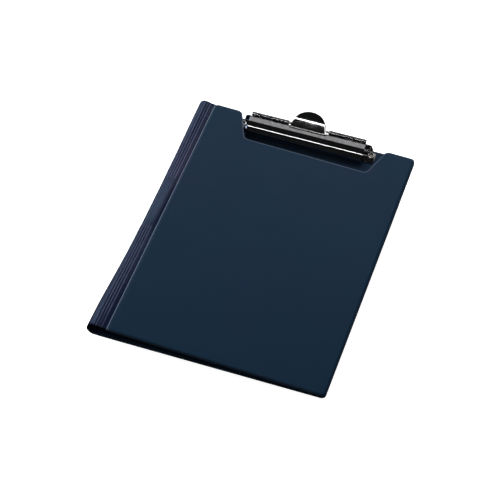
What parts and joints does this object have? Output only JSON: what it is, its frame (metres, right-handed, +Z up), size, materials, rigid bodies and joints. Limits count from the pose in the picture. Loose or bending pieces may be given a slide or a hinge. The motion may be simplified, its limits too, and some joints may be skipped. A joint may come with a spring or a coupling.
{
  "type": "clipboard folder",
  "caption": "A4 clipboard with a foil-covered back panel, a fold-over cover on a flexible ribbed spine, and a sprung metal bar clip with a thumb tab.",
  "frame": {"origin": "on the underside of the back panel, on the clip's centre line, halfway along the panel", "axes": "+Y towards the clip, +X towards the free long edge, +Z up from the table"},
  "size_m": [0.2383, 0.326, 0.0256],
  "materials": {
    "navy_foil": "satin embossed PVC foil",
    "lining_foil": "satin PVC foil",
    "greyboard": "raw grey board",
    "black_chrome": "polished black chrome on sheet steel",
    "rod_steel": "drawn steel",
    "spring_steel": "oiled spring wire"
  },
  "bodies": {
    "back_panel": {"back_board": "greyboard", "back_outer_foil": "navy_foil", "back_lining_foil": "lining_foil", "clip_base_plate": "black_chrome", "hinge_rod": "rod_steel", "torsion_spring": "spring_steel", "rivet_left": "black_chrome", "rivet_right": "black_chrome", "rivet_washer_left": "rod_steel", "rivet_washer_right": "rod_steel"},
    "jaw": {"clip_jaw": "black_chrome"},
    "spine_1": {"spine_outer_1": "navy_foil", "spine_lining_1": "lining_foil"},
    "spine_2": {"spine_outer_2": "navy_foil", "spine_lining_2": "lining_foil"},
    "spine_3": {"spine_outer_3": "navy_foil", "spine_lining_3": "lining_foil"},
    "spine_4": {"spine_outer_4": "navy_foil", "spine_lining_4": "lining_foil"},
    "spine_5": {"spine_outer_5": "navy_foil", "spine_lining_5": "lining_foil"},
    "cover": {"cover_board": "greyboard", "cover_outer_foil": "navy_foil", "cover_lining_foil": "lining_foil"}
  },
  "joints": [
    {"name": "spine_crease_1", "type": "hinge", "parent": "back_panel", "child": "spine_1", "pos_m": [-0.116, 0, 0.0015], "axis": [0, -1, 0], "range_deg": [0, 39.42]},
    {"name": "spine_crease_2", "type": "hinge", "parent": "spine_1", "child": "spine_2", "pos_m": [-0.11976, 0, 0.00287], "axis": [0, -1, 0], "range_deg": [0, 78.82]},
    {"name": "spine_crease_3", "type": "hinge", "parent": "spine_2", "child": "spine_3", "pos_m": [-0.12201, 0, 0.00677], "axis": [0, -1, 0], "range_deg": [0, 88.65]},
    {"name": "spine_crease_4", "type": "hinge", "parent": "spine_3", "child": "spine_4", "pos_m": [-0.12084, 0, 0.01111], "axis": [0, -1, 0], "range_deg": [0, 88.67]},
    {"name": "spine_crease_5", "type": "hinge", "parent": "spine_4", "child": "spine_5", "pos_m": [-0.11786, 0, 0.01283], "axis": [0, -1, 0], "range_deg": [0, 55.18]},
    {"name": "cover_crease", "type": "hinge", "parent": "spine_5", "child": "cover", "pos_m": [-0.1045, 0, 0.0133], "axis": [0, -1, 0], "range_deg": [0, 8.47]},
    {"name": "jaw_open", "type": "hinge", "parent": "back_panel", "child": "jaw", "pos_m": [0, 0.1553, 0.0156], "axis": [-1, 0, 0], "range_deg": [0, 32], "stiffness_Nm_per_rad": 0.35, "springref_deg": -51.57, "deforming": ["torsion_spring"]}
  ]
}
